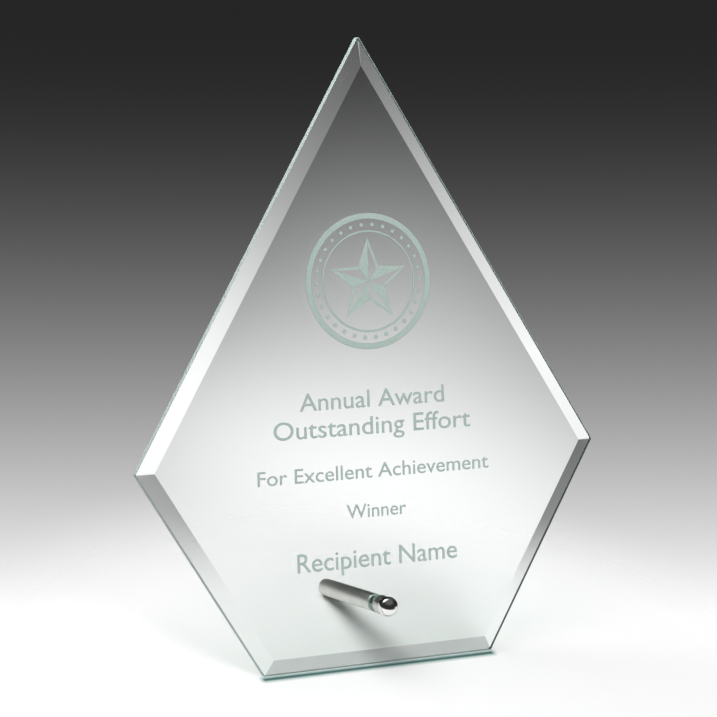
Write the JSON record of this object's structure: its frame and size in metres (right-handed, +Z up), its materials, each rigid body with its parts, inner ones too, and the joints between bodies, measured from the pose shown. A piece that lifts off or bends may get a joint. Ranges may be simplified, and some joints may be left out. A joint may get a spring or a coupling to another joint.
{
  "type": "glass award plaque",
  "caption": "Tall diamond-shaped bevelled glass plaque that leans back on a round metal pin with a domed front cap.",
  "frame": {"origin": "middle of the bounding box seen from above, on the surface the award stands on", "axes": "+Z up; the decorated face looks towards -Y and up, and the glass leans back towards +Y; X is the award's width, and the award is the same left and right of X = 0"},
  "size_m": [0.1996, 0.0996, 0.2325],
  "materials": {
    "clear_glass": "clear float glass with polished bevels and a green-tinted edge",
    "polished_steel": "mirror-polished dome on a satin-turned barrel",
    "satin_steel": "satin, turned",
    "plated_steel": "zinc-plated thread",
    "clear_plastic": "clear, slightly milky"
  },
  "bodies": {
    "plaque": {"glass_plate": "clear_glass", "hole_bush": "clear_plastic", "rear_washer": "clear_plastic", "threaded_stud": "plated_steel", "rear_rod": "satin_steel"},
    "washer": {"front_washer": "clear_plastic"},
    "cap": {"front_cap": "polished_steel"}
  },
  "joints": [
    {"name": "cap_travel", "type": "slide", "parent": "plaque", "child": "washer", "axis": [0, -0.928, 0.3727], "range_m": [0, 0.0042]},
    {"name": "cap_turn", "type": "hinge", "parent": "washer", "child": "cap", "pos_m": [0, -0.03954, 0.0244], "axis": [0, -0.928, 0.3727], "range_deg": [0, 2160.5]}
  ],
  "couplings": [
    {"joint": "cap_turn", "follows": "cap_travel", "rad_per_m": 8976}
  ]
}
